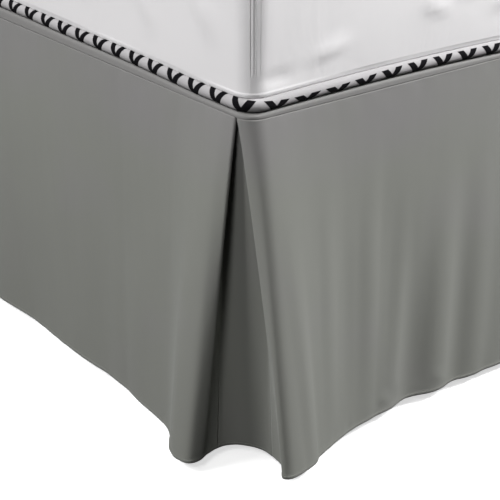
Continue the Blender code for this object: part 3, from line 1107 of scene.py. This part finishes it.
def ring_piece(name, rings, material, smooth_angle, closed=True):
    """A piece through closed rings of points, from its middle outwards.

    A closed one comes back to its middle, and a sheet ends at its outer edge, facing up.
    """
    bm = grid_of(rings)

    def place(row, column, vert, face):
        if abs(face.normal.z) > FLAT_ENOUGH:
            return (vert.co.x, vert.co.y)
        return (AROUND[column], vert.co.z)

    map_cloth(bm, len(rings[0]), place)
    bmesh.ops.remove_doubles(bm, verts=bm.verts, dist=MERGE)
    rims = [edge for edge in bm.edges if edge.is_boundary]
    inner = [edge for edge in rims if closed or abs(edge.verts[0].co.x) < HALF_WIDTH / 2]
    bmesh.ops.holes_fill(bm, edges=inner)
    bmesh.ops.recalc_face_normals(bm, faces=bm.faces)
    bm.faces.ensure_lookup_table()
    if not closed and bm.faces[0].normal.z < 0:
        bmesh.ops.reverse_faces(bm, faces=bm.faces)
    return add_piece(name, bm, material, smooth_angle)


def edge_lift(around):
    """How far the mattress's lower edge lifts off the deck here."""
    total = 0.0
    for lift in EDGE_LIFTS:
        off = (around - lift.around + PERIMETER / 2) % PERIMETER - PERIMETER / 2
        reach = abs(off) / lift.half_length
        if reach < 1:
            total += lift.height * math.cos(reach * math.pi / 2)
    return total


def border_rows(swell, height):
    """The rows of the mattress border, from just above the lower piping to just under the upper."""
    rows = []
    start, end = PIPED_EDGE[-1].up, height - PIPED_EDGE[-1].up
    for step in range(1, BORDER_ROWS):
        share = 0.5 - 0.5 * math.cos(math.pi * step / BORDER_ROWS)
        bulge = swell * math.sin(math.pi * share)
        rows.append(Tuck(BORDER_INSET - bulge, start + (end - start) * share))
    return rows


def panel_crown(point, inset):
    """How far the top of the mattress rises here."""
    crown = CROWN * math.sin(math.pi / 2 * min(inset / CROWN_REACH, 1.0))
    return crown + 0.0030 * noise.noise(Vector((point.x * 3.1, point.y * 3.1, 5.0))) * ease(inset / 0.2)


def border_relief(around, up, height):
    """How far the border's wrinkles and its slight unevenness stand out here."""
    out = crease_relief(BORDER_CREASES, signed(around), up)
    out += 0.0016 * noise.noise(Vector((around * 6.0, up * 9.0, 2.0)))
    return out * ease(min(up, height - up) / BORDER_FADE)


def make_mattress(mattress):
    """The mattress from the middle of its underside out to its border, up and in over its top."""
    low = MATTRESS_LOW.z
    height = MATTRESS_HIGH.z - CROWN - low
    underside = [Tuck(inset, 0.0) for inset in PANEL_INSETS]
    border = border_rows(mattress.swell, height)
    upper_edge = [Tuck(tuck.inset, height - tuck.up) for tuck in reversed(PIPED_EDGE)]
    top = [Tuck(inset, height) for inset in reversed(PANEL_INSETS)]
    rings = []
    for part in (underside, PIPED_EDGE, border, upper_edge, top):
        for inset, up in part:
            corner = MATTRESS_RADIUS + max(0.0, inset - 0.02) * 0.6 - min(inset, 0.0125)
            lifting = ease(1 - (max(up, inset) - PIPED_EDGE[0].inset) / LIFT_REACH)
            ring = []
            for around, point in zip(AROUND, outline(inset, corner, corner)):
                z = low + up + edge_lift(around) * lifting
                if part is top:
                    z += panel_crown(point, inset)
                if part is border:
                    point = point + outline_normal(point) * border_relief(around, up, height)
                ring.append(Vector((*point, z)))
            rings.append(ring)
    piece = ring_piece("mattress_body", rings, knit_finish(mattress), 60)
    settle(piece, "mattress_knit", "mattress")


def make_piping(name, node, level, lifted, material):
    """Round piping along one edge of the mattress, mapped round the bed and round itself."""
    inset = PIPING_RADIUS - PIPING_PROUD
    path = outline(inset, MATTRESS_RADIUS - inset, MATTRESS_RADIUS - inset)
    ways = [outline_normal(point) for point in outline(0.0, MATTRESS_RADIUS, MATTRESS_RADIUS)]
    angles = [math.radians(-180 + 360 * side / PIPING_SIDES) for side in range(PIPING_SIDES + 1)]
    rings = []
    for angle in angles:
        ring = []
        for around, point, way in zip(AROUND, path, ways):
            wobble = 0.0004 * noise.noise(Vector((around * 14.0, 0.0, level * 10)))
            out = math.cos(angle) * PIPING_RADIUS + wobble
            z = level + (edge_lift(around) if lifted else 0.0) + math.sin(angle) * PIPING_RADIUS
            ring.append(Vector((*(point + way * out), z)))
        rings.append(ring)
    bm = grid_of(rings)

    def place(row, column, vert, face):
        return (AROUND[column], PIPING_RADIUS * angles[row])

    map_cloth(bm, len(path), place)
    bmesh.ops.remove_doubles(bm, verts=bm.verts, dist=MERGE)
    bmesh.ops.recalc_face_normals(bm, faces=bm.faces)
    settle(add_piece(name, bm, material, 80), "piping", node)


def make_deck(deck):
    """The deck lies over the foundation, its edge rolled down to the skirt's seam all round."""
    rings = []
    for row in (*(DeckRow(inset, 0.0, 1.0) for inset in PANEL_INSETS), *DECK_EDGE):
        corner = max(CORNER_RADIUS - min(row.inset, 0.010), 0.002) + max(0.0, row.inset - 0.02) * 0.5
        share = row.lift * ease(1 - row.inset / DECK_LIFT_REACH)
        path = outline(row.inset, corner, max(0.004 - row.inset, 0.001))
        rings.append(
            [
                Vector((*point, DECK_TOP + row.up + share * edge_lift(around)))
                for around, point in zip(AROUND, path)
            ]
        )
    piece = ring_piece("deck_sheet", rings, deck_finish(deck), 50, closed=False)
    wall = piece.modifiers.new("cloth thickness", "SOLIDIFY")
    wall.thickness = deck.thickness
    wall.offset = -1.0
    settle(piece, "deck_cloth", "deck")


def make_foundation(foundation):
    """The box foundation: a stretched woven cover with a seam near its top and bottom edges."""
    low, high = FOUNDATION_LOW.z, FOUNDATION_HIGH.z
    inset = FOUNDATION_LOW.x + HALF_WIDTH
    height = high - low
    into, start = COVER_EDGE[-1]
    wall = []
    for step in range(1, WALL_ROWS):
        share = step / WALL_ROWS
        bulge = FOUNDATION_BULGE * math.sin(math.pi * share)
        wall.append(Tuck(into + bulge, start + (height - 2 * start) * share))
    panel = [Tuck(far - inset, 0.0) for far in PANEL_INSETS if far - inset > 0.02]
    half = [*panel, *COVER_EDGE]
    rings = []
    for into, up in [*half, *wall, *(Tuck(tuck.inset, height - tuck.up) for tuck in reversed(half))]:
        corner = FOUNDATION_RADIUS - min(into, 0.016) * 0.5 + max(0.0, into - 0.03) * 0.5
        rings.append([Vector((*point, low + up)) for point in outline(inset + into, corner, corner)])
    piece = ring_piece("foundation_body", rings, cover_finish(foundation), 60)
    settle(piece, "foundation_cover", "foundation")


def make_legs(leg):
    """Turned legs, each standing on its felt glide."""
    wood, felt = wood_finish(leg), felt_finish()
    for number in range(1, LEGS + 1):
        low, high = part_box(f"leg_{number}")
        x, y = (low.x + high.x) / 2, (low.y + high.y) / 2
        top_radius = (high.x - low.x) / 2
        foot_radius = top_radius * LEG_TAPER
        height = high.z
        profile = (
            (0.0, GLIDE + 0.0002),
            (foot_radius - 0.0030, GLIDE + 0.0002),
            (foot_radius - 0.0008, GLIDE + 0.0011),
            (foot_radius, GLIDE + 0.0032),
            (foot_radius + (top_radius - foot_radius) * 0.45, height * 0.50),
            (top_radius - 0.0006, height * 0.90),
            (top_radius, height - 0.0060),
            (top_radius - 0.0005, height - 0.0020),
            (top_radius - 0.0025, height),
            (0.0, height),
        )
        settle(turned(f"leg_{number}_wood", profile, (x, y), wood), "leg_wood", f"leg_{number}")
        pad_radius = foot_radius - 0.0022
        pad = (
            (0.0, 0.0),
            (foot_radius - 0.0030, 0.0),
            (pad_radius, 0.0008),
            (pad_radius, GLIDE),
            (0.0, GLIDE),
        )
        piece = turned(f"leg_{number}_glide", pad, (x, y), felt)
        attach(piece, "root")


def turned(name, profile, centre, material):
    """A round piece turned about an upright axis, from its profile of radius and height, bottom to top."""
    bm = bmesh.new()
    verts = [bm.verts.new((radius, 0.0, z)) for radius, z in profile]
    edges = [bm.edges.new(pair) for pair in zip(verts, verts[1:])]
    bmesh.ops.spin(
        bm,
        geom=verts + edges,
        cent=(0.0, 0.0, 0.0),
        axis=(0.0, 0.0, 1.0),
        angle=2 * math.pi,
        steps=LEG_FACES,
        use_merge=True,
        use_duplicate=False,
    )
    bmesh.ops.remove_doubles(bm, verts=bm.verts, dist=MERGE)
    bmesh.ops.recalc_face_normals(bm, faces=bm.faces)
    bmesh.ops.translate(bm, verts=bm.verts, vec=(*centre, 0.0))
    return add_piece(name, bm, material, 40)


# ---- the stage ----

# The camera stands off the left foot corner and looks down at it.
CAMERA_HEADING = 37.97
CAMERA_PITCH = 24.06
CAMERA_AWAY = 1.3238
CAMERA_RIGHT = 0.0014
CAMERA_UP = 0.4565

FLOOR_REACH = 60.0
FLOOR_DROP = 0.0004
ROOM_LIGHT = 0.02

# The left foot corner of the deck, and the middle of the bed at the deck's height.
CORNER = Vector((-HALF_WIDTH, FOOT_Y, DECK_TOP))
MIDDLE = Vector((0.0, 0.0, DECK_TOP))

# Each light's place from the corner, its size, its power, and what it is aimed at.
Lamp = namedtuple("Lamp", "name place size power aim")
LAMPS = (
    Lamp("left_softbox", (-1.5, 0.7, 1.3), 0.9, 38.0, CORNER),
    Lamp("right_softbox", (1.5, -1.05, 1.45), 0.8, 86.0, CORNER),
    Lamp("front_softbox", (-2.1, -1.2, 1.9), 1.0, 37.0, CORNER),
    Lamp("overhead_softbox", (-0.1, 0.8, 4.4), 3.0, 40.0, CORNER),
    Lamp("head_softbox", (3.6, 4.6, 2.2), 2.0, 110.0, MIDDLE),
)


def backdrop():
    """A white backdrop, which gives the bed itself only a little light from all round."""
    world = bpy.data.worlds.new("studio")
    world.use_nodes = True
    nodes, links = world.node_tree.nodes, world.node_tree.links
    seen = nodes.new("ShaderNodeLightPath")
    strength = nodes.new("ShaderNodeMapRange")
    strength.inputs["To Min"].default_value = ROOM_LIGHT
    links.new(seen.outputs["Is Camera Ray"], strength.inputs["Value"])
    background = nodes["Background"]
    background.inputs["Color"].default_value = (1.0, 1.0, 1.0, 1.0)
    links.new(strength.outputs["Result"], background.inputs["Strength"])
    return world


def make_floor(stage):
    bm = bmesh.new()
    bmesh.ops.create_grid(bm, x_segments=4, y_segments=4, size=FLOOR_REACH)
    bmesh.ops.translate(bm, verts=bm.verts, vec=(0.0, 0.0, -FLOOR_DROP))
    floor = add_piece("floor", bm, floor_finish(stage), 50)
    floor.visible_diffuse = False
    floor.visible_glossy = False


def make_camera(stage):
    heading, pitch = math.radians(CAMERA_HEADING), math.radians(CAMERA_PITCH)
    ahead = Vector((math.sin(heading), math.cos(heading), 0.0))
    right = Vector((ahead.y, -ahead.x, 0.0))
    camera = bpy.data.objects.new("camera", bpy.data.cameras.new("camera"))
    camera.data.lens = stage.lens
    camera.data.clip_end = 200.0
    camera.location = CORNER - ahead * CAMERA_AWAY + right * CAMERA_RIGHT + Vector((0.0, 0.0, CAMERA_UP))
    look = ahead * math.cos(pitch) - Vector((0.0, 0.0, math.sin(pitch)))
    camera.rotation_euler = look.to_track_quat("-Z", "Y").to_euler()
    bpy.context.scene.collection.objects.link(camera)
    bpy.context.scene.camera = camera


def make_light(lamp):
    light = bpy.data.lights.new(lamp.name, "AREA")
    light.shape = "DISK"
    light.size = lamp.size
    light.energy = lamp.power
    box = bpy.data.objects.new(lamp.name, light)
    box.location = CORNER + Vector(lamp.place)
    box.rotation_euler = (lamp.aim - box.location).to_track_quat("-Z", "Y").to_euler()
    box.visible_camera = False
    bpy.context.scene.collection.objects.link(box)


def make_stage(stage):
    make_floor(stage)
    make_camera(stage)
    for lamp in LAMPS:
        make_light(lamp)
    bpy.context.scene.world = backdrop()
    bpy.context.scene.view_settings.view_transform = "Standard"


# ---- operators ----


class BEDSKIRT_OT_skirt(Operator):
    """Hang the two side panels, the foot panel and the two pleat inserts"""

    bl_idname = "bedskirt.skirt"
    bl_label = "Hang the Skirt"

    def execute(self, context):
        make_skirt(context.scene.bed_skirt.skirt)
        return {"FINISHED"}


class BEDSKIRT_OT_deck(Operator):
    """Lay the deck that the skirt is sewn to"""

    bl_idname = "bedskirt.deck"
    bl_label = "Lay the Deck"

    def execute(self, context):
        make_deck(context.scene.bed_skirt.deck)
        return {"FINISHED"}


class BEDSKIRT_OT_mattress(Operator):
    """Fill the mattress and shape its border"""

    bl_idname = "bedskirt.mattress"
    bl_label = "Fill the Mattress"

    def execute(self, context):
        make_mattress(context.scene.bed_skirt.mattress)
        return {"FINISHED"}


class BEDSKIRT_OT_piping(Operator):
    """Sew the overstitched piping round the mattress's lower and upper edges"""

    bl_idname = "bedskirt.piping"
    bl_label = "Sew the Piping"

    def execute(self, context):
        material = piping_finish(context.scene.bed_skirt.piping)
        for name, node, lifted in (
            ("piping_lower", "tape_edge_lower", True),
            ("piping_upper", "tape_edge_upper", False),
        ):
            low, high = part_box(node)
            make_piping(name, node, (low.z + high.z) / 2, lifted, material)
        return {"FINISHED"}


class BEDSKIRT_OT_foundation(Operator):
    """Build the box foundation under the deck"""

    bl_idname = "bedskirt.foundation"
    bl_label = "Build the Foundation"

    def execute(self, context):
        make_foundation(context.scene.bed_skirt.foundation)
        return {"FINISHED"}


class BEDSKIRT_OT_legs(Operator):
    """Turn the six legs"""

    bl_idname = "bedskirt.legs"
    bl_label = "Turn the Legs"

    def execute(self, context):
        make_legs(context.scene.bed_skirt.legs)
        return {"FINISHED"}


class BEDSKIRT_OT_stage(Operator):
    """Set the floor, the lights and the camera"""

    bl_idname = "bedskirt.stage"
    bl_label = "Set the Stage"

    def execute(self, context):
        make_stage(context.scene.bed_skirt.stage)
        return {"FINISHED"}


OPERATORS = (
    BEDSKIRT_OT_stage,
    BEDSKIRT_OT_skirt,
    BEDSKIRT_OT_deck,
    BEDSKIRT_OT_mattress,
    BEDSKIRT_OT_piping,
    BEDSKIRT_OT_foundation,
    BEDSKIRT_OT_legs,
)


class BEDSKIRT_PT_sidebar(Panel):
    """The bed skirt's settings and the steps that build it"""

    bl_label = "Bed Skirt"
    bl_idname = "BEDSKIRT_PT_sidebar"
    bl_space_type = "VIEW_3D"
    bl_region_type = "UI"
    bl_category = "Bed Skirt"

    def draw(self, context):
        settings = context.scene.bed_skirt
        for step in OPERATORS:
            part = getattr(settings, step.bl_idname.split(".")[1])
            box = self.layout.box()
            box.operator(step.bl_idname)
            for name in part.__annotations__:
                box.prop(part, name)


CLASSES = (
    SkirtSettings,
    DeckSettings,
    MattressSettings,
    PipingSettings,
    FoundationSettings,
    LegSettings,
    StageSettings,
    BedSkirtSettings,
    *OPERATORS,
    BEDSKIRT_PT_sidebar,
)


def register():
    for cls in CLASSES:
        bpy.utils.register_class(cls)
    bpy.types.Scene.bed_skirt = PointerProperty(type=BedSkirtSettings)


def unregister():
    del bpy.types.Scene.bed_skirt
    for cls in reversed(CLASSES):
        bpy.utils.unregister_class(cls)


def main():
    register()
    bpy.ops.bedskirt.stage()
    bpy.ops.bedskirt.skirt()
    bpy.ops.bedskirt.deck()
    bpy.ops.bedskirt.mattress()
    bpy.ops.bedskirt.piping()
    bpy.ops.bedskirt.foundation()
    bpy.ops.bedskirt.legs()


if __name__ == "__main__":
    main()
